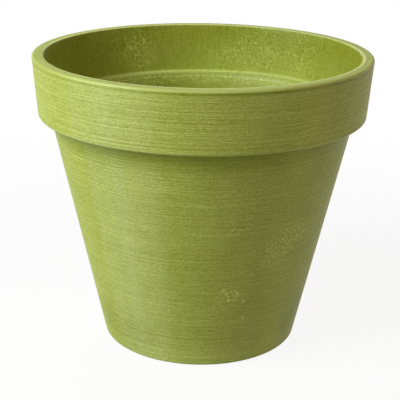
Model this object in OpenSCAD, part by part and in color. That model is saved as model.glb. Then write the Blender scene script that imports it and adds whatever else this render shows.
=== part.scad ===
// Banded plant pot that can be made watertight, as a florist's bucket is.
// The pot is one thick-walled moulding: a tapered body, a deep band round the mouth,
// a ledge inside behind the band, and a floor raised inside a foot ring.
// A ribbed rubber plug closes each drain hole in the floor and pulls out upwards.
// Millimetres, +Z up. The origin is the centre of the face that the pot stands on.

/* [Pot] */
// Outside diameter of the lip
lip_d = 300; // [270:1:360]
// Height from the standing face to the top of the lip
pot_h = 262; // [220:1:320]
// Outside diameter of the tapered body, carried down to the standing face
foot_d = 178; // [160:1:220]
// Thickness of the body's wall, measured level
wall = 10.3; // [7:0.1:13]
// Thickness of the floor
floor_t = 9; // [6:0.5:14]
// Radius of the hollow where the wall meets the floor inside
floor_fillet = 12; // [4:1:18]

/* [Band] */
// Height of the band, from its lower edge to the top of the lip
band_h = 52.8; // [35:0.2:80]
// How far the band draws in from the lip to its lower edge
band_draft = 4.2; // [1:0.2:8]
// How far the band's lower edge stands out from the body
band_step = 10.4; // [6:0.2:14]
// Thickness of the lip and of the band's wall, measured level
lip_t = 10.3; // [8:0.1:13]
// Rounding of the lip's outer edge
lip_outer_r = 3.4; // [1:0.2:5]
// Rounding of the lip's inner edge
lip_inner_r = 1.8; // [0.6:0.2:3]
// Rounding of the band's lower edge
band_edge_r = 2.4; // [0.6:0.2:4]
// Hollow in the corner where the body runs up under the band
undercut_r = 1.2; // [0.4:0.2:2.4]

/* [Ledge] */
// Thickness of the material under the inner ledge, measured upright
ledge_t = 6.8; // [5:0.2:12]
// Rounding of the ledge's inner edge
ledge_edge_r = 4; // [0.6:0.2:5]
// Hollow where the ledge meets the band's inner wall
ledge_fillet = 1.8; // [0.6:0.2:2.4]

/* [Foot] */
// Rounding of the foot's outer edge
foot_edge_r = 2.5; // [1:0.5:6]
// Width of the foot ring, before its outer edge is rounded
foot_ring_w = 16; // [12:0.5:22]
// Height of the floor's underside above the standing face
foot_recess = 5; // [4:0.5:9]
// Rounding inside the foot ring, at its edge and in its corner
foot_inner_r = 1.5; // [0.5:0.25:2]
// Radius of the dimple that the moulding gate leaves under the floor
gate_r = 9; // [5:0.5:14]
// Depth of the gate dimple
gate_depth = 1.2; // [0.4:0.2:2]

/* [Drain holes] */
// Diameter of each drain hole
hole_d = 16; // [12:0.5:20]
// Radius of the circle that the drain holes lie on
hole_pitch_r = 44; // [36:1:50]
// Depth of the seat round each hole, below the floor's upper face
seat_depth = 2; // [1:0.25:3]
// Width of the seat outside the hole
seat_w = 5.5; // [4:0.25:8]

/* [Drain plugs] */
// Gap all round between a plug's ribs and its hole
plug_gap = 0.15; // [0.05:0.05:0.3]
// Gap all round between a plug's flange and the seat's wall
flange_gap = 0.5; // [0.3:0.1:1]
// Thickness of a plug's flange
flange_t = 3; // [2:0.25:5]
// Rounding of the flange's upper edge
flange_edge_r = 1; // [0.25:0.25:1.5]
// Height of the sealing ribs above the shank
rib_h = 1.3; // [0.6:0.1:2]
// Length of one sealing rib along the shank
rib_len = 1.8; // [1:0.2:2.4]
// Bare shank above each sealing rib
rib_gap = 0.6; // [0.4:0.1:1]
// How far the plug's nose reaches below the floor
nose_reach = 2.5; // [1.5:0.5:3]
// Rounding of the nose
nose_r = 1.5; // [0.5:0.25:2]
// Mouth diameter of the hollow that lets the ribs flex
core_d = 7; // [4:0.5:8]
// Rubber left between that hollow and the top of the flange
core_roof = 5.5; // [4:0.5:7]
// Width of the pull tab
tab_w = 13; // [8:0.5:16]
// Thickness of the pull tab
tab_t = 3; // [2:0.25:4]
// Height of the pull tab, to the centre of its bead
tab_h = 8; // [5:0.5:12]
// Diameter of the bead along the top of the pull tab
bead_d = 5; // [4.5:0.25:7]

/* [Hidden] */
// Largest angle between neighbouring points of a rounded corner
ARC_STEP = 12;
// Extra length that takes a cut clear of the face it leaves
CLEAR = 1;
// The core's upper end as a share of its mouth, for the draft that frees the mould pin
CORE_TAPER = 0.75;
// How deep the pull tab is rooted in the flange
TAB_ROOT = 1;

POT_GREEN = "#a3bd4b";
PLUG_BLACK = "#2b2d2a";

// Where each drain hole lies, in order from +X, a quarter turn apart
SIDES = ["right", "back", "left", "front"];
QUARTER = 360 / len(SIDES);
LAST_SIDE = len(SIDES) - 1;

function plug_name(index) = str("drain_plug_", SIDES[index]);

$fn = 96;

lip_r = lip_d / 2;
foot_r = foot_d / 2;
band_z = pot_h - band_h;
band_low_r = lip_r - band_draft;
body_top_r = band_low_r - band_step;
ledge_z = band_z + ledge_t;
floor_z = foot_recess + floor_t;
foot_ring_r = foot_r - foot_ring_w;

hole_r = hole_d / 2;
seat_r = hole_r + seat_w;
seat_z = floor_z - seat_depth;

flange_r = seat_r - flange_gap;
rib_r = hole_r - plug_gap;
shank_r = rib_r - rib_h;
hole_len = seat_z - foot_recess;
shank_len = hole_len + nose_reach;
rib_pitch = rib_len + rib_gap;
rib_count = floor((hole_len - rib_gap) / rib_pitch);
core_r = core_d / 2;
core_top = flange_t - core_roof;

// Outside radius of the band, and of the tapered body, at height z
function band_r(z) = lip_r - band_draft * (pot_h - z) / band_h;
function body_r(z) = foot_r + (body_top_r - foot_r) * z / band_z;

function unit(v) = v / norm(v);

// The points that round the corner at a point with an arc that touches both its sides
function corner(before, at, after, r) =
    let (
        to_before = unit(before - at),
        to_after = unit(after - at),
        half = acos(to_before * to_after) / 2,
        centre = at + unit(to_before + to_after) * r / sin(half),
        first = at + to_before * r / tan(half) - centre,
        last = at + to_after * r / tan(half) - centre,
        start = atan2(first.y, first.x),
        turn = atan2(first.x * last.y - first.y * last.x, first * last),
        steps = ceil(abs(turn) / ARC_STEP)
    )
    [for (i = [0 : steps]) centre + r * [cos(start + turn * i / steps), sin(start + turn * i / steps)]];

// A closed outline from [x, y, radius] rows, where a radius of 0 leaves the corner sharp
function rounded(rows) =
    let (count = len(rows), at = [for (row = rows) [row.x, row.y]])
    [
        for (i = [0 : count - 1])
            each rows[i].z > 0
                ? corner(at[(i + count - 1) % count], at[i], at[(i + 1) % count], rows[i].z)
                : [at[i]]
    ];

// Half section of the pot: up the outside, over the lip, down the inside and back under the floor
function pot_section() = rounded([
    [foot_ring_r, 0, foot_inner_r],
    [foot_r, 0, foot_edge_r],
    [body_top_r, band_z, undercut_r],
    [band_low_r, band_z, band_edge_r],
    [lip_r, pot_h, lip_outer_r],
    [lip_r - lip_t, pot_h, lip_inner_r],
    [band_r(ledge_z) - lip_t, ledge_z, ledge_fillet],
    [body_r(ledge_z) - wall, ledge_z, ledge_edge_r],
    [body_r(floor_z) - wall, floor_z, floor_fillet],
    [0, floor_z, 0],
    [0, foot_recess + gate_depth, 0],
    [gate_r, foot_recess, 0],
    [foot_ring_r, foot_recess, foot_inner_r],
]);

// Places its children over one drain hole, with Z measured from the seat
module at_hole(index) {
    rotate(index * QUARTER)
        translate([hole_pitch_r, 0, seat_z])
            children();
}

// The moulded pot, with a drain hole and a plug seat cut through its floor at each side
module pot_shell() {
    color(POT_GREEN)
        difference() {
            rotate_extrude() polygon(pot_section());
            for (index = [0 : LAST_SIDE])
                at_hole(index) {
                    translate([0, 0, -hole_len - CLEAR]) cylinder(r = hole_r, h = hole_len + 2 * CLEAR);
                    cylinder(r = seat_r, h = seat_depth + CLEAR);
                }
        }
}

// One sealing rib: it slopes out from the shank on the way up and ends in a square shoulder
function rib_rows(top) = [
    [shank_r, top - rib_len, 0],
    [rib_r, top, 0],
    [shank_r, top, 0],
];

// Half section of a plug, flange and shank, with Z measured from the seat
function plug_section() = rounded(concat(
    [
        [0, flange_t, 0],
        [0, core_top, 0],
        [core_r * CORE_TAPER, core_top, 0],
        [core_r, -shank_len, 0],
        [shank_r, -shank_len, nose_r],
    ],
    [for (index = [rib_count - 1 : -1 : 0]) each rib_rows(-rib_gap - index * rib_pitch)],
    [
        [shank_r, 0, 0],
        [flange_r, 0, 0],
        [flange_r, flange_t, flange_edge_r],
    ]
));

// Upright pull tab with a round bead along its top, standing on the flange
module pull_tab() {
    translate([-tab_w / 2, -tab_t / 2, flange_t - TAB_ROOT]) cube([tab_w, tab_t, tab_h + TAB_ROOT]);
    translate([-tab_w / 2, 0, flange_t + tab_h]) rotate([0, 90, 0]) cylinder(d = bead_d, h = tab_w);
    for (end = [-1, 1])
        translate([end * tab_w / 2, 0, flange_t + tab_h]) sphere(d = bead_d);
}

// A soft rubber plug: flange, ribbed hollow shank and pull tab
module drain_plug(index) {
    color(PLUG_BLACK)
        at_hole(index) {
            rotate_extrude() polygon(plug_section());
            pull_tab();
        }
}

pot_shell();
for (index = [0 : LAST_SIDE])
    drain_plug(index);
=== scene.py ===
import math

import bmesh
import bpy
from mathutils import Matrix, Vector, noise


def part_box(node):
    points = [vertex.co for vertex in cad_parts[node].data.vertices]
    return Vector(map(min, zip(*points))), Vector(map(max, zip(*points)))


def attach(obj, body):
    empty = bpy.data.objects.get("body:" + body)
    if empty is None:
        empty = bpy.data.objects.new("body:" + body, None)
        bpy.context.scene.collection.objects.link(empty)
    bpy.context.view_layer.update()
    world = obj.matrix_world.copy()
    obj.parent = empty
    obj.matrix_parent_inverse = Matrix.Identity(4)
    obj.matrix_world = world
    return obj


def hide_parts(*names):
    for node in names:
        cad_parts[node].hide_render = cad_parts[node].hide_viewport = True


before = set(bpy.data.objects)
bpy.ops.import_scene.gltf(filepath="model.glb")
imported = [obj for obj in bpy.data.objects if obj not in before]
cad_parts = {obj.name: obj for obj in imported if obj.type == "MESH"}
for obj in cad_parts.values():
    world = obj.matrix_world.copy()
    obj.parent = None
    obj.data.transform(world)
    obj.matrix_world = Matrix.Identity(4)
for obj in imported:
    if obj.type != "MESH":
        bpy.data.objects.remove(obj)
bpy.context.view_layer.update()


# Pot
# One thick moulding in lime green plastic: tapered body, deep band, rounded lip, floor, foot ring.
# Its outside is spun against a brush after moulding, which leaves fine level lines all round it.
# The inside keeps the mould's own skin, cloudy, with short upright marks where the core drew out.
pot_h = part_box("pot_shell")[1].z
# The lip is rounded less than the solid's, so its corner lies further in to keep to the same box
lip_r = 0.14981
lip_t = 0.0103
lip_outer_round = 0.0021
lip_inner_round = 0.0010
lip_edge_w = 0.0026
lip_edge_h = 0.00012
brush_below_lip = 0.0041
brush_cut = 0.00012
brush_edge_h = 0.0003
band_h = 0.0528
band_draft = 0.0042
band_step = 0.0104
band_edge_round = 0.0024
band_root_round = 0.0012
wall_t = 0.0103
ledge_t = 0.0068
ledge_line_w = 0.0006
ledge_line_h = 0.0012
ledge_slope_w = 0.0014
ledge_slope_h = 0.0034
ledge_fall_w = 0.0036
ledge_fall_h = 0.0006
ledge_edge_round = 0.0006
ledge_root_round = 0.0018
floor_t = 0.009
floor_round = 0.012
foot_r = 0.089
foot_edge_round = 0.0025
foot_ring_w = 0.016
foot_recess = 0.005
foot_inner_round = 0.0015
gate_r = 0.009
gate_depth = 0.0012
hole_r = 0.008
hole_pitch_r = 0.044
hole_break = 0.0004
seat_w = 0.0055
seat_depth = 0.002

brush_z = pot_h - brush_below_lip
band_z = pot_h - band_h
body_top_r = lip_r - band_draft - band_step
ledge_z = band_z + ledge_t
floor_z = foot_recess + floor_t
seat_r = hole_r + seat_w
seat_z = floor_z - seat_depth
hole_angles = {"right": 0.0, "back": math.pi / 2, "left": math.pi, "front": -math.pi / 2}


def band_r(z):
    """The band's outer radius at a height."""
    return lip_r - band_draft * (pot_h - z) / band_h


def body_r(z):
    """The body's outer radius at a height."""
    return foot_r + (body_top_r - foot_r) * z / band_z


slope_z = ledge_z - ledge_fall_h - ledge_slope_h
slope_r = body_r(slope_z) - wall_t

# Each row is a corner of the half section, from the floor's middle up the inside, over the lip and
# down the outside to the middle of the underside: its radius, height and rounding, and the name of
# the surface that starts there.
pot_rows = [
    (0.0, floor_z, 0.0, "floor"),
    (body_r(floor_z) - wall_t, floor_z, floor_round, "inner wall"),
    (slope_r, slope_z, ledge_edge_round, "ledge line"),
    (slope_r + ledge_line_w, slope_z + ledge_line_h, ledge_edge_round, "ledge slope"),
    (slope_r + ledge_slope_w, ledge_z - ledge_fall_h, ledge_edge_round, "ledge fall"),
    (slope_r + ledge_slope_w + ledge_fall_w, ledge_z, ledge_edge_round, "ledge"),
    (band_r(ledge_z) - lip_t, ledge_z, ledge_root_round, "inner band"),
    (lip_r - lip_t, pot_h - lip_edge_h, lip_inner_round, "lip edge"),
    (lip_r - lip_t + lip_edge_w, pot_h, lip_edge_h, "lip"),
    (lip_r, pot_h, lip_outer_round, "lip skin"),
    (band_r(brush_z), brush_z, brush_cut, "brush edge"),
    (band_r(brush_z) - brush_cut, brush_z - brush_edge_h, brush_cut, "band"),
    (band_r(band_z), band_z, band_edge_round, "step"),
    (body_top_r, band_z, band_root_round, "body"),
    (foot_r, 0.0, foot_edge_round, "foot"),
    (foot_r - foot_ring_w, 0.0, foot_inner_round, "recess"),
    (foot_r - foot_ring_w, foot_recess, foot_inner_round, "underside"),
    (0.0, foot_recess, 0.0, "underside"),
]

# Rings of the mesh lie close together where the brush has cut ridges, and further apart elsewhere
spun_spacing = {"band": 0.0009, "body": 0.0009}
usual_spacing = 0.004
arc_step = math.radians(9)


def corner_arc(before, at, after, radius):
    """The points that round a corner with an arc touching both its sides."""
    to_before = (before - at).normalized()
    to_after = (after - at).normalized()
    half = to_before.angle(to_after) / 2
    centre = at + (to_before + to_after).normalized() * (radius / math.sin(half))
    first = at + to_before * (radius / math.tan(half)) - centre
    last = at + to_after * (radius / math.tan(half)) - centre
    start = math.atan2(first.y, first.x)
    turn = math.atan2(first.cross(last), first.dot(last))
    steps = math.ceil(abs(turn) / arc_step)
    angles = [start + turn * i / steps for i in range(steps + 1)]
    return [centre + radius * Vector((math.cos(a), math.sin(a))) for a in angles]


def half_section(rows):
    """The rows' outline, from the first rounded corner to the last.

    Each point comes with the surface it leaves, the one it joins, how far it is between the two,
    and the corner it rounds: +1 at the middle of an outer edge, -1 at the middle of a hollow.
    """
    corners = [Vector(row[:2]) for row in rows]
    section = []
    for i in range(1, len(rows) - 1):
        arc = corner_arc(corners[i - 1], corners[i], corners[i + 1], rows[i][2])
        leaving, joining = rows[i - 1][3], rows[i][3]
        if section:
            start, end = section[-1][0], arc[0]
            spacing = spun_spacing.get(leaving, usual_spacing)
            count = math.ceil((end - start).length / spacing)
            for k in range(1, count):
                section.append((start.lerp(end, k / count), leaving, leaving, 0.0, 0.0))
        outer = (corners[i] - corners[i - 1]).cross(corners[i + 1] - corners[i]) < 0
        for k, point in enumerate(arc):
            share = k / (len(arc) - 1)
            bend = math.sin(math.pi * share) * (1 if outer else -1)
            section.append((point, leaving, joining, share, bend))
    return section


def ring(bm, centre, radius, z, count):
    """A level circle of new vertices about a point of the plan."""
    turns = [2 * math.pi * k / count for k in range(count)]
    x, y = centre
    return [bm.verts.new((x + radius * math.cos(a), y + radius * math.sin(a), z)) for a in turns]


def skin(bm, loops):
    """Quads between each loop of vertices and the next."""
    for lower, upper in zip(loops, loops[1:]):
        for k in range(len(lower)):
            bm.faces.new((lower[k - 1], lower[k], upper[k], upper[k - 1]))


def flat_fill(bm, loops):
    """A flat face between loops that lie in one plane, the first round all the others."""
    edges = [bm.edges.get((loop[k - 1], loop[k])) for loop in loops for k in range(len(loop))]
    bmesh.ops.triangle_fill(bm, edges=edges, use_beauty=True)


sharp_corner = math.radians(40)


def finished_mesh(bm, name):
    """The mesh with its faces turned outwards, smooth except across sharp corners."""
    bmesh.ops.recalc_face_normals(bm, faces=bm.faces)
    mesh = bpy.data.meshes.new(name)
    bm.to_mesh(mesh)
    bm.free()
    mesh.shade_smooth()
    mesh.set_sharp_from_angle(angle=sharp_corner)
    return mesh


# How much of each finish a surface has, from 0 to 1
spun_share = {
    "lip skin": 0.7,
    "brush edge": 0.8,
    "band": 1.0,
    "step": 0.8,
    "body": 1.0,
    "foot": 0.4,
}
ledge_surfaces = ("ledge line", "ledge slope", "ledge fall", "ledge")
moulded_surfaces = ("floor", "inner wall", *ledge_surfaces, "inner band", "recess", "underside")
moulded_share = dict.fromkeys(moulded_surfaces, 1.0)
dull_share = {
    "ledge slope": 0.2,
    "ledge fall": 0.8,
    "ledge": 1.0,
    "lip edge": 1.0,
    "lip": 1.0,
    "foot": 0.2,
}
# This share is wear and painted highlight: the lip's inner edge, the ledge and its line
wear_and_highlight_share = {"ledge line": 0.15, "ledge": 0.5, "lip edge": 1.0}
# Painted shade: the ledge's shadow gap, the band's underside, and the partly unbrushed line under
# the lip
painted_shade_share = {"ledge slope": 0.22, "lip skin": 1.0, "brush edge": 0.4, "step": 1.0}

# Wear and a painted highlight along an outer edge, named by the surface that the edge leads to
edge_wear_and_highlight = {"lip skin": 0.6, "step": 0.15}

# Where on a rounded corner the dull finish and the painted shade of the next surface take over
dull_from = 0.2
dull_full = 0.6
painted_shade_from = 0.95

# Painted shadow of the band on the body fades out between these depths, as the brush reaches in
brush_and_shade_start = 0.006
brush_and_shade_full = 0.022
spun_unreached = 0.5


def pot_marks(point, leaving, joining, share, bend):
    """How much of each finish the pot has at a point of its section."""

    def blend(shares, start=0.0, end=1.0):
        across = min(1.0, max(0.0, (share - start) / (end - start)))
        return shares.get(leaving, 0.0) * (1 - across) + shares.get(joining, 0.0) * across

    below = (band_z - point.y - brush_and_shade_start) / (brush_and_shade_full - brush_and_shade_start)
    brushed_and_unshaded = min(1.0, max(0.0, below)) if joining == "body" else 1.0
    return {
        "spun": blend(spun_share) * (spun_unreached + (1 - spun_unreached) * brushed_and_unshaded),
        "moulded": blend(moulded_share),
        "dull": blend(dull_share, dull_from, dull_full),
        "wear_and_highlight": max(blend(wear_and_highlight_share), edge_wear_and_highlight.get(joining, 0.0) * bend * share),
        "painted_shade": max(blend(painted_shade_share, painted_shade_from), 1.0 - brushed_and_unshaded),
    }


# Steps round the pot, as many as the export writes out with nothing reduced
around_count = 200
hole_count = 48
dish_rings = 4

# The ridges' noise changes within far less than the rings' spacing, so each ring has its own ridge
ridge_depth = 0.00003
ridge_length = 0.06
ridge_change = 0.0001


def brushed(angle, run):
    """How far the brush has cut in at a place outside: long level ridges that come and go."""
    cells = lip_r / ridge_length
    where = Vector((cells * math.cos(angle), cells * math.sin(angle), run / ridge_change))
    return ridge_depth * noise.noise(where)


def drain_hole(bm, angle):
    """The loops of a stepped hole, from the floor down to the underside."""
    hole_rows = [
        (seat_r + hole_break, floor_z),
        (seat_r, floor_z - hole_break),
        (seat_r, seat_z),
        (hole_r + hole_break, seat_z),
        (hole_r, seat_z - hole_break),
        (hole_r, foot_recess + hole_break),
        (hole_r + hole_break, foot_recess),
    ]
    centre = (hole_pitch_r * math.cos(angle), hole_pitch_r * math.sin(angle))
    loops = [ring(bm, centre, r, z, hole_count) for r, z in hole_rows]
    skin(bm, loops)
    return loops


def gate_dish(bm):
    """The loops of the shallow dish that the mould's gate leaves under the floor, its rim first."""
    loops = []
    for k in range(dish_rings):
        share = 1 - k / dish_rings
        z = foot_recess + gate_depth * (1 - share * share)
        loops.append(ring(bm, (0.0, 0.0), gate_r * share, z, hole_count))
    skin(bm, loops)
    bm.faces.new(loops[-1])
    return loops


def pot_mesh():
    """The turned pot with its drain holes. Each vertex has its finish and its run of the section."""
    bm = bmesh.new()
    names = ("run", "spun", "moulded", "dull", "wear_and_highlight", "painted_shade")
    layers = {name: bm.verts.layers.float.new(name) for name in names}
    section = half_section(pot_rows)
    rings = []
    run = 0.0
    previous = section[0][0]
    for point, leaving, joining, share, bend in section:
        run += (point - previous).length
        previous = point
        marks = {"run": run} | pot_marks(point, leaving, joining, share, bend)
        ridged = leaving in spun_spacing and joining in spun_spacing
        loop = ring(bm, (0.0, 0.0), point.x, point.y, around_count)
        for k, vertex in enumerate(loop):
            if ridged:
                angle = 2 * math.pi * k / around_count
                cut = brushed(angle, run)
                vertex.co.x -= cut * math.cos(angle)
                vertex.co.y -= cut * math.sin(angle)
            for name, value in marks.items():
                vertex[layers[name]] = value
        rings.append(loop)
    skin(bm, rings)
    holes = [drain_hole(bm, angle) for angle in hole_angles.values()]
    dish = gate_dish(bm)
    floor_loops = [rings[0]] + [hole[0] for hole in holes]
    under_loops = [rings[-1]] + [hole[-1] for hole in holes] + [dish[0]]
    for loop in sum(holes, dish):
        for vertex in loop:
            vertex[layers["moulded"]] = 1.0
    for loop in under_loops + dish:
        for vertex in loop:
            vertex[layers["run"]] = run
    flat_fill(bm, floor_loops)
    flat_fill(bm, under_loops)
    return finished_mesh(bm, "pot")


class Wire:
    """A value on its way through a material, so that masks and mixes read as arithmetic."""

    def __init__(self, finish, socket):
        self.finish = finish
        self.socket = socket

    def sums(self, operation, *values):
        return self.finish.node("ShaderNodeMath", {"operation": operation}, dict(enumerate(values)))

    def __add__(self, other):
        return self.sums("ADD", self, other)

    def __sub__(self, other):
        return self.sums("SUBTRACT", self, other)

    def __rsub__(self, other):
        return self.sums("SUBTRACT", other, self)

    def __mul__(self, other):
        return self.sums("MULTIPLY", self, other)

    def __truediv__(self, other):
        return self.sums("DIVIDE", self, other)

    def __rtruediv__(self, other):
        return self.sums("DIVIDE", other, self)

    __radd__ = __add__
    __rmul__ = __mul__

    def floor(self):
        return self.sums("FLOOR", self)

    def size(self):
        """The value without its sign."""
        return self.sums("ABSOLUTE", self)

    def output(self, name):
        """Another output of the node that this value comes from."""
        return Wire(self.finish, self.socket.node.outputs[name])


class Finish:
    """The nodes of one material, or of the world."""

    def __init__(self, tree):
        self.tree = tree
        self.tree.nodes.clear()

    def node(self, kind, settings=None, sockets=None, out=0):
        """Adds a node, sets it, feeds its sockets with values or wires, and gives one output."""
        made = self.tree.nodes.new(kind)
        for name, value in (settings or {}).items():
            setattr(made, name, value)
        for name, value in (sockets or {}).items():
            if isinstance(value, Wire):
                self.tree.links.new(value.socket, made.inputs[name])
            else:
                made.inputs[name].default_value = value
        return Wire(self, made.outputs[out]) if made.outputs else None

    def attribute(self, name):
        return self.node("ShaderNodeAttribute", {"attribute_name": name}, out="Fac")

    def vector(self, x, y, z):
        return self.node("ShaderNodeCombineXYZ", {}, {0: x, 1: y, 2: z})

    def vectors(self, operation, *values):
        """Vector maths, for places and colours."""
        settings = {"operation": operation}
        return self.node("ShaderNodeVectorMath", settings, dict(enumerate(values)))

    def length(self, vector):
        return self.vectors("LENGTH", vector).output("Value")

    def noise(self, where, detail, roughness=0.5):
        """Smooth noise with a cell of one unit, from about -0.5 to 0.5."""
        sockets = {"Vector": where, "Scale": 1.0, "Detail": detail, "Roughness": roughness}
        return self.node("ShaderNodeTexNoise", {}, sockets) - 0.5

    def speckle(self, place, cell, detail):
        """Noise over a place in metres, in cells of one size."""
        settings = {"operation": "SCALE"}
        where = self.node("ShaderNodeVectorMath", settings, {0: place, "Scale": 1 / cell})
        return self.noise(where, detail)

    def step(self, value, low, high):
        """0 at low and 1 at high, whichever is the greater, with a smooth step in between."""
        settings = {"interpolation_type": "SMOOTHSTEP"}
        sockets = {"Value": value, "From Min": low, "From Max": high}
        return self.node("ShaderNodeMapRange", settings, sockets)

    def mix(self, share, first, second):
        """A share of one colour over another. The Mix node's colours are its sockets 6 and 7."""
        sockets = {0: share, 6: first, 7: second}
        return self.node("ShaderNodeMix", {"data_type": "RGBA"}, sockets, out=2)

    def streak(self, colour, mark, share):
        """A colour with a share of a mark's colour added, or taken away where it is negative."""
        return self.vectors("MULTIPLY_ADD", mark, self.vector(share, share, share), colour)


def new_material(name):
    material = bpy.data.materials.new(name)
    material.use_nodes = True
    return material, Finish(material.node_tree)


moulded_lime = (0.345, 0.400, 0.044, 1.0)
brushed_lime = (0.350, 0.416, 0.050, 1.0)
# Deep lime of the painted shade under the band, under the lip and at the foot
shaded_lime = (0.238, 0.302, 0.010, 1.0)
dusty_lime = (0.58, 0.71, 0.185, 1.0)
# Pale lime of wear and of painted highlights on the lip's edges and the ledge
pale_wear_and_highlight_lime = (0.83, 0.94, 0.33, 1.0)
pale_scratch = (0.39, 0.44, 0.165)
white = (1.0, 1.0, 1.0, 1.0)
shine_share = 0.04

# Brush lines, as a length and a width, and how much each kind counts, also where the brush lay
# in patches, and where they are drawn stronger as painted light on the front.
# Half of the next line is taken away, so neighbours stand apart.
fine_line = (0.0045, 0.0006)
fine_weight = 0.6
fine_in_patches = 0.3
medium_line = (0.160, 0.0006)
medium_weight = 0.95
medium_front_lit = 0.45
bold_line = (0.200, 0.0008)
patch_size = (0.120, 0.045)
line_jump = 7.31
next_line_share = 0.5
pale_line_excess = 0.4
line_mean = 0.044

# Sizes of the moulding's own clouds, specks and upright marks
cloud_size = 0.045
flecked_size = 0.030
blotch_size = 0.014
hair_size = 0.008
fleck_size = 0.0022
speck_size = 0.0016
grain_size = 0.0013
draw_mark = (0.0022, 0.016)

# Tones are shares of the pale scratch, added where they are positive: first those of the outside
line_tone = 1.35
bold_tone = 0.4
grain_tone = 0.8
cloud_tone = 0.2
blotch_tone = 0.14
band_tone = 0.06
band_tone_h = 0.002
# Paler towards the foot: painted light from the floor, and rubbing wear
foot_light_and_rub_tone = 0.24
foot_light_and_rub_h = 0.030
dull_line_tone = 1.2
dull_grain_tone = 0.4

# Tones of the inside: painted shade under the lip, lighter towards the ledge, and dust under the
# ledge
inside_base_tone = -0.10
light_towards_ledge_tone = 0.22
shade_below_lip = 0.002
light_above_ledge = 0.006
inside_cloud_tone = 0.30
draw_mark_tone = 0.35
fleck_tone = 0.55
flecked_tone = 0.5
dust_h = 0.008
dust_full_h = dust_h / 3
dust_tone = 0.20
dust_fleck_tone = 0.9

# Places on the wall: degrees round from the front, height, reach to the sides, reach up and down.
# The core is the part of a place's reach that has its full tone.
place_core = 0.3
# Painted light: brush lines drawn stronger on the front, where grazing light brings them out
front_lit_lines = (2, 0.236, 0.130, 0.060)
scuffed = [(35, 0.113, 0.026, 0.025), (44, 0.123, 0.022, 0.022), (15, 0.072, 0.018, 0.013)]
scuff_tone = 0.06
scuff_speck_tone = 0.9
scuff_pit_tone = 0.6
# Painted shade low on the body's left and right sides, near the foot
foot_shade_places = [(-50, 0.010, 0.062, 0.052), (72, 0.030, 0.046, 0.060)]
foot_shade_tone = -0.20
band_nick = (2, 0.236, 0.0009, 0.0035)
nick_tone = 0.3
dark_fleck = (17, 0.140, 0.0016, 0.0016)
dark_fleck_tone = -0.3
smeared_inside = (-152, 0.238, 0.025, 0.030)
smear_tone = 0.16
smear_hair_tone = 0.5
smear_fleck_tone = 0.7
mottled_inside = [(160, 0.238, 0.048, 0.026), (136, 0.240, 0.032, 0.028)]
mottle_tone = 0.10
mottle_fleck_tone = 0.5
mottle_speck_tone = 0.6
mottle_hair_tone = 0.5
# Painted light: less painted shade under the lip on its left, where the lamp lights it
lit_lip_side = (-55, 0.258, 0.140, 0.030)
lit_side_shade_cut = 0.6
# Where the lip's wear and painted highlight are left out, at its far left end
lip_end_unhighlighted = (-72, 0.258, 0.090, 0.040)

# Chips are as wide as they are high: degrees round from the front, and height
chips = [(10.9, 0.079), (12.4, 0.075), (13.6, 0.069), (17.7, 0.075), (21.3, 0.066), (22.0, 0.049)]
chip_size = 0.0022
chip_tone = 0.5

# How far painted shade, dust, wear and painted highlight cover the plastic, and the marks' relief
# Painted shade along the foot's lower edge, where it meets the floor
foot_painted_shade_h = 0.007
foot_painted_shade = 0.5
dust_cover = 0.65
wear_and_highlight_cover = 0.9
wear_and_highlight_flecks = 0.8
bold_relief = 0.3
draw_mark_relief = 0.4
grain_relief = 0.2
# Added to the distance from the axis, so that nothing is divided by zero at the floor's middle
axis_gap = 0.0001


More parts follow.
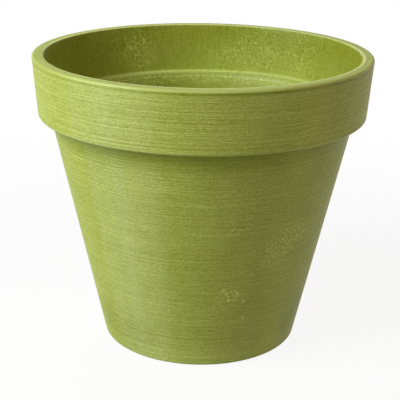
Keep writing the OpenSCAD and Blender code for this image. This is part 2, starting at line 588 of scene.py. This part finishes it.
def pot_material():
    """Brushed plastic outside, cloudy moulded plastic inside, wear and dirt, painted shade and
    light.
    """
    material, f = new_material("spun_lime_plastic")
    place = f.node("ShaderNodeTexCoord", out="Object")
    split = f.node("ShaderNodeSeparateXYZ", {}, {0: place})
    x, y, z = split, split.output("Y"), split.output("Z")
    from_axis = f.length(f.vector(x, y, 0.0)) + axis_gap
    turn_x, turn_y = x / from_axis, y / from_axis
    run = f.attribute("run")
    spun = f.attribute("spun")
    moulded = f.attribute("moulded")
    dull = f.attribute("dull")

    def strokes(length, level, seed, detail=3.0):
        """Noise drawn out round the pot by a length, over a place along the section."""
        cells = lip_r / length
        where = f.vector(turn_x * cells + seed, turn_y * cells, level)
        return f.noise(where, detail, roughness=0.6)

    def scored(length, width, seed):
        """Level lines of one width, each one on its own, that come and go round the pot."""
        row = (run / width).floor()
        line = strokes(length, row * line_jump, seed)
        next_line = strokes(length, (row + 1.0) * line_jump, seed)
        return line - next_line * next_line_share

    def spot(degrees, height, across, up, wall=0.0):
        """1 in the middle of a place on the pot's wall and 0 beyond its reach."""
        a = math.radians(degrees)
        r = (band_r(height) if height > band_z else body_r(height)) - wall
        away = f.vectors("SUBTRACT", place, (r * math.sin(a), -r * math.cos(a), height))
        away = f.vectors("MULTIPLY", away, (1 / across, 1 / across, 1 / up))
        return f.step(f.length(away), 1.0, place_core)

    # Patterns of the brush and of the moulding
    fine = scored(*fine_line, seed=3.1)
    medium = scored(*medium_line, seed=7.7)
    bold = f.step(scored(*bold_line, seed=11.3), low=0.12, high=0.22)
    patch_length, patch_width = patch_size
    patch_strokes = strokes(patch_length, run / patch_width, seed=17.9)
    patches = f.step(patch_strokes, low=-0.12, high=0.16)
    front_lit = spot(*front_lit_lines)
    lines = fine * (fine_weight + patches * fine_in_patches)
    lines += medium * (medium_weight + front_lit * medium_front_lit)
    lines += lines.size() * pale_line_excess - line_mean
    clouds = f.speckle(place, cloud_size, detail=3.0)
    blotches = f.speckle(place, blotch_size, detail=1.0)
    mark_width, mark_length = draw_mark
    draw_marks = strokes(mark_width, run / mark_length, seed=23.5, detail=2.0)
    grain = f.speckle(place, grain_size, detail=1.0)
    flecks = f.speckle(place, fleck_size, detail=2.0)
    specks = f.speckle(place, speck_size, detail=2.0)
    hairs = f.step(f.speckle(place, hair_size, detail=2.0).size(), low=0.03, high=0.005)

    # Tone of the outside: painted light and shade near the foot, and rubbed and chipped places
    outside = (
        lines * line_tone
        + bold * patches * bold_tone
        + grain * grain_tone
        + clouds * cloud_tone
        + blotches * blotch_tone
        + f.step(z, band_z, band_z + band_tone_h) * band_tone
    )
    foot_shades = sum(spot(*where) for where in foot_shade_places)
    outside += f.step(z, foot_light_and_rub_h, 0.0) * foot_light_and_rub_tone + foot_shades * foot_shade_tone
    scuffs = sum(spot(*where) for where in scuffed)
    pits = f.step(specks, low=0.04, high=0.2)
    knocks = sum(spot(*where, chip_size, chip_size) for where in chips)
    scuff_tones = scuff_tone + specks * scuff_speck_tone + pits * scuff_pit_tone
    outside += scuffs * scuff_tones + knocks * chip_tone
    outside += spot(*band_nick) * nick_tone + spot(*dark_fleck) * dark_fleck_tone

    # Tone of the inside, with painted shade under the lip, dust, smear and mottled places
    # Painted shade: the inside wall darker under the lip and lighter towards the ledge
    light_towards_ledge = f.step(z, pot_h - shade_below_lip, ledge_z + light_above_ledge)
    flecked = f.step(f.speckle(place, flecked_size, detail=2.0), low=-0.10, high=0.20)
    inside = (
        light_towards_ledge * light_towards_ledge_tone
        + inside_base_tone
        + clouds * inside_cloud_tone
        + draw_marks * draw_mark_tone
        + flecks * (fleck_tone + flecked * flecked_tone)
    )
    dusted = f.step(z, slope_z - dust_h, slope_z - dust_full_h) * f.step(z, ledge_z, slope_z)
    inside += dusted * (dust_tone + flecks * dust_fleck_tone)
    smear_tones = smear_tone + hairs * smear_hair_tone + flecks * smear_fleck_tone
    inside += spot(*smeared_inside, wall_t) * smear_tones
    mottles = sum(spot(*where, wall_t) for where in mottled_inside)
    specked = f.step(specks, low=0.0, high=0.15)
    mottle_tones = mottle_tone + flecks * mottle_fleck_tone + specks * mottle_speck_tone
    inside += mottles * (mottle_tones + hairs * specked * mottle_hair_tone)

    # Colour, from plain plastic through painted shade, dust, wear and painted highlights to the
    # marks' tone
    painted_shade = f.attribute("painted_shade") * (1.0 - spot(*lit_lip_side) * lit_side_shade_cut)
    painted_shade += f.step(z, foot_painted_shade_h, 0.0) * foot_painted_shade
    wear_and_highlight = f.attribute("wear_and_highlight") * (1.0 - spot(*lip_end_unhighlighted))
    tone = outside * spun + inside * moulded
    tone += (lines * dull_line_tone + grain * dull_grain_tone) * dull
    colour = f.mix(painted_shade, f.mix(spun, moulded_lime, brushed_lime), shaded_lime)
    colour = f.mix(dull * dust_cover, colour, dusty_lime)
    colour = f.mix(wear_and_highlight * (wear_and_highlight_cover + flecks * wear_and_highlight_flecks), colour, pale_wear_and_highlight_lime)
    colour = f.streak(colour, pale_scratch, tone)

    # Relief and shine: the brushed outside gleams along its lines, the rest has a moulded gloss
    height = spun * (lines + bold * bold_relief)
    height += moulded * draw_marks * draw_mark_relief
    height += grain * grain_relief
    bump = f.node("ShaderNodeBump", {}, {"Strength": 0.3, "Distance": 0.0002, "Height": height})
    shared = {"Base Color": colour, "Normal": bump}
    gloss = {"Roughness": 0.40 + dull * 0.4, "Specular IOR Level": 0.3}
    moulded_skin = f.node("ShaderNodeBsdfPrincipled", {}, shared | gloss)
    scored_skin = f.node("ShaderNodeBsdfPrincipled", {}, shared | {"Specular IOR Level": 0.1})
    gleam = {"Color": white, "Roughness": 0.45, "Anisotropy": 0.78, "Normal": bump}
    gleaming = f.node("ShaderNodeBsdfAnisotropic", {}, gleam)
    spun_skin = f.node("ShaderNodeMixShader", {}, {0: shine_share, 1: scored_skin, 2: gleaming})
    shader = f.node("ShaderNodeMixShader", {}, {0: spun, 1: moulded_skin, 2: spun_skin})
    f.node("ShaderNodeOutputMaterial", {}, {"Surface": shader})
    return material


def new_object(name, mesh, material):
    made = bpy.data.objects.new(name, mesh)
    bpy.context.scene.collection.objects.link(made)
    mesh.materials.append(material)
    return made


pot = new_object("pot", pot_mesh(), pot_material())
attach(pot, "pot")
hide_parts("pot_shell")


# Drain plugs
# A moulded black rubber stopper in each drain hole: a flange in the seat, a hollow shank with two
# sealing ribs that grip the hole, and an upright tab with a bead along its top to pull it out by.
flange_clearance = 0.0005
flange_t = 0.003
flange_edge_round = 0.001
rib_clearance = 0.00015
rib_h = 0.0013
rib_len = 0.0018
rib_gap = 0.0006
rib_count = 2
nose_drop = 0.0025
nose_round = 0.0015
core_r = 0.0035
core_top_share = 0.75
core_roof_t = 0.0055
small_round = 0.00025
tab_w = 0.013
tab_t = 0.003
tab_h = 0.008
tab_root_round = 0.0007
bead_r = 0.0025
mould_line = 0.00012
plug_count = 48
tab_end_count = 12
tab_root_count = 4
bead_count = 16
# The bead's loops keep off its lowest and highest points, where a loop would shrink to a line
bead_offset = 0.15

flange_r = seat_r - flange_clearance
flange_z = seat_z + flange_t
rib_r = hole_r - rib_clearance
shank_r = rib_r - rib_h
nose_z = foot_recess - nose_drop
core_top_r = core_top_share * core_r
core_top_z = flange_z - core_roof_t

# Corners of the half section, as for the pot, from the flange's middle down to the core's roof
plug_rows = [
    (0.0, flange_z, 0.0, "flange"),
    (flange_r, flange_z, flange_edge_round, "flange"),
    (flange_r, seat_z, small_round, "flange"),
    (shank_r, seat_z, small_round, "shank"),
]
for rib in range(rib_count):
    rib_z = seat_z - rib_gap - rib * (rib_len + rib_gap)
    plug_rows += [
        (shank_r, rib_z, small_round / 2, "rib"),
        (rib_r, rib_z, small_round, "rib"),
        (shank_r, rib_z - rib_len, small_round / 2, "shank"),
    ]
plug_rows += [
    (shank_r, nose_z, nose_round, "nose"),
    (core_r, nose_z, small_round, "core"),
    (core_top_r, core_top_z, small_round * 2, "core"),
    (0.0, core_top_z, 0.0, "core"),
]


def tab_loop(bm, half, radius, z):
    """A level loop round the pull tab: two straight sides and two round ends with a mould line."""
    loop = []
    for end in (1, -1):
        for k in range(tab_end_count + 1):
            angle = math.pi * (k / tab_end_count - 0.5)
            out = radius + (mould_line if k == tab_end_count // 2 else 0.0)
            x = end * (half + out * math.cos(angle))
            loop.append(bm.verts.new((x, end * radius * math.sin(angle), z)))
    return loop


def tab_loops(bm):
    """The tab from its flared root on the flange, up its neck and over the bead."""
    neck_r = tab_t / 2
    half = tab_w / 2 - neck_r
    loops = []
    for k in range(tab_root_count + 1):
        angle = math.pi / 2 * k / tab_root_count
        flare = tab_root_round * (1 - math.sin(angle))
        z = flange_z + tab_root_round * (1 - math.cos(angle))
        loops.append(tab_loop(bm, half, neck_r + flare, z))
    for k in range(bead_count):
        angle = math.pi * (k + bead_offset) / bead_count
        bulge = bead_r * math.sin(angle)
        z = flange_z + tab_h - bead_r * math.cos(angle)
        over_top = angle > math.pi / 2
        radius = bulge if over_top else max(neck_r, bulge)
        loops.append(tab_loop(bm, tab_w / 2 + bulge - radius, radius, z))
    return loops


def plug_mesh(name, angle):
    """One plug in its hole, each vertex with how far it stands out on an edge."""
    bm = bmesh.new()
    bend_layer = bm.verts.layers.float.new("bend")
    rings = []
    for point, leaving, joining, share, bend in half_section(plug_rows):
        loop = ring(bm, (0.0, 0.0), point.x, point.y, plug_count)
        for vertex in loop:
            vertex[bend_layer] = bend
        rings.append(loop)
    skin(bm, rings)
    bm.faces.new(rings[-1])
    tab = tab_loops(bm)
    skin(bm, tab)
    bm.faces.new(tab[-1])
    flat_fill(bm, [rings[0], tab[0]])
    mesh = finished_mesh(bm, name)
    mesh.transform(Matrix.Rotation(angle, 4, "Z") @ Matrix.Translation((hole_pitch_r, 0.0, 0.0)))
    return mesh


rubber = (0.020, 0.021, 0.019, 1.0)
bloom = (0.075, 0.077, 0.070, 1.0)
bloom_size = 0.006
bloom_in_clouds = 0.45
bloom_in_pores = 0.6
bloom_on_edges = 0.35
pore_size = 0.0006


def plug_material():
    """Matt black rubber with fine pores, and a grey bloom in clouds and along the edges."""
    material, f = new_material("black_rubber")
    place = f.node("ShaderNodeTexCoord", out="Object")
    bend = f.attribute("bend")
    clouds = f.speckle(place, bloom_size, detail=3.0)
    pores = f.speckle(place, pore_size, detail=2.0)
    cloudy = f.step(clouds + pores * bloom_in_pores, low=-0.1, high=0.35)
    on_edge = f.step(bend, low=0.2, high=1.0)
    bloomed = cloudy * bloom_in_clouds + on_edge * bloom_on_edges
    colour = f.mix(bloomed, rubber, bloom)
    bump = f.node("ShaderNodeBump", {}, {"Strength": 0.5, "Distance": 0.0001, "Height": pores})
    sockets = {"Base Color": colour, "Roughness": 0.55 + clouds * 0.2, "Normal": bump}
    shader = f.node("ShaderNodeBsdfPrincipled", {}, sockets)
    f.node("ShaderNodeOutputMaterial", {}, {"Surface": shader})
    return material


black_rubber = plug_material()
for side, hole_angle in hole_angles.items():
    plug = new_object(f"plug_{side}", plug_mesh(f"plug_{side}", hole_angle), black_rubber)
    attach(plug, f"plug_{side}")
    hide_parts(f"drain_plug_{side}")


# Floor and light
# A wide white floor that keeps a faint shadow near the pot, with a white backdrop behind it.
# A large soft lamp stands high on the left with a low one below it, a weak warm one on the right
# and two behind the pot, in a faint warm light from all round.
floor_r = 4.0
floor_count = 96


def floor_mesh():
    bm = bmesh.new()
    bm.faces.new(ring(bm, (0.0, 0.0), floor_r, 0.0, floor_count))
    return finished_mesh(bm, "floor")


def seen_directly(f):
    """1 for what the camera sees straight on, in a reflection or through something clear."""
    path = f.node("ShaderNodeLightPath", out="Is Camera Ray")
    return path + path.output("Is Glossy Ray") + path.output("Is Transmission Ray")


floor_paint = (0.5, 0.5, 0.5, 1.0)
floor_glow_share = 0.9
shadow_near = 0.25
shadow_far = 0.8


def floor_material():
    """White to the camera, with a share that takes the shadow, and mid grey to the light."""
    material, f = new_material("white_floor")
    seen = seen_directly(f)
    lit = f.node("ShaderNodeBsdfDiffuse", {}, {"Color": f.mix(seen, floor_paint, white)})
    glow = f.node("ShaderNodeEmission", {}, {"Color": white, "Strength": 1.0})
    away = f.length(f.node("ShaderNodeTexCoord", out="Object"))
    share = floor_glow_share + f.step(away, shadow_near, shadow_far) * (1 - floor_glow_share)
    shown = f.node("ShaderNodeMixShader", {}, {0: seen * share, 1: lit, 2: glow})
    f.node("ShaderNodeOutputMaterial", {}, {"Surface": shown})
    return material


studio_floor = new_object("floor", floor_mesh(), floor_material())

ambient = (1.0, 0.62, 0.66, 1.0)
ambient_strength = 0.15
world = bpy.data.worlds.new("studio")
bpy.context.scene.world = world
world.use_nodes = True
sky = Finish(world.node_tree)
glow = sky.node("ShaderNodeBackground", {}, {"Color": ambient, "Strength": ambient_strength})
backdrop = sky.node("ShaderNodeBackground", {}, {"Color": white, "Strength": 1.0})
shown_sky = sky.node("ShaderNodeMixShader", {}, {0: seen_directly(sky), 1: glow, 2: backdrop})
sky.node("ShaderNodeOutputWorld", {}, {"Surface": shown_sky})

pot_middle = Vector((0.0, 0.0, pot_h / 2))
lamp_distance = 1.6


def softbox(name, azimuth, elevation, width, height, power, colour):
    """A rectangular lamp that faces the pot. Azimuth 0 is the camera's side and 90 the right."""
    a, e = math.radians(azimuth), math.radians(elevation)
    out = Vector((math.sin(a) * math.cos(e), -math.cos(a) * math.cos(e), math.sin(e)))
    lamp = bpy.data.lights.new(name, "AREA")
    lamp.shape = "RECTANGLE"
    lamp.size = width
    lamp.size_y = height
    lamp.energy = power
    lamp.color = colour
    holder = bpy.data.objects.new(name, lamp)
    holder.location = pot_middle + out * lamp_distance
    holder.rotation_euler = out.to_track_quat("Z", "Y").to_euler()
    holder.visible_camera = False
    bpy.context.scene.collection.objects.link(holder)


# Each lamp's degrees round from the camera and up, width, height, watts and colour
softbox("key_softbox", -56, 36, 1.0, 0.8, 21.0, (0.93, 1.0, 1.0))
softbox("low_softbox", -76, 3, 1.0, 0.3, 7.8, (1.0, 1.0, 1.5))
softbox("fill_softbox", 75, 10, 0.7, 0.7, 2.8, (1.1, 0.9, 0.2))
softbox("back_softbox", 180, 32, 0.6, 0.6, 2.6, (1.1, 0.9, 1.2))
softbox("rear_softbox", 180, 8, 1.0, 0.4, 5.0, (1.0, 1.0, 1.0))


# Camera
# A long lens, a little above the rim, tipped down and leaning by under a degree.
# It stands where the outline of the pot in the photograph puts it, with no shift.
camera_distance = 0.9707
camera_elevation = math.radians(18.812)
camera_pitch = camera_elevation + math.radians(0.410)
camera_yaw = math.radians(0.060)
camera_roll = math.radians(0.813)
camera_data = bpy.data.cameras.new("camera")
camera_data.sensor_width = 36.0
camera_data.lens = 94.8
camera = bpy.data.objects.new("camera", camera_data)
back_off = Vector((0.0, -math.cos(camera_elevation), math.sin(camera_elevation)))
camera.matrix_world = (
    Matrix.Translation(pot_middle + back_off * camera_distance)
    @ Matrix.Rotation(camera_yaw, 4, "Z")
    @ Matrix.Rotation(math.pi / 2 - camera_pitch, 4, "X")
    @ Matrix.Rotation(camera_roll, 4, "Z")
)
bpy.context.scene.collection.objects.link(camera)
bpy.context.scene.camera = camera
bpy.context.scene.view_settings.view_transform = "Standard"
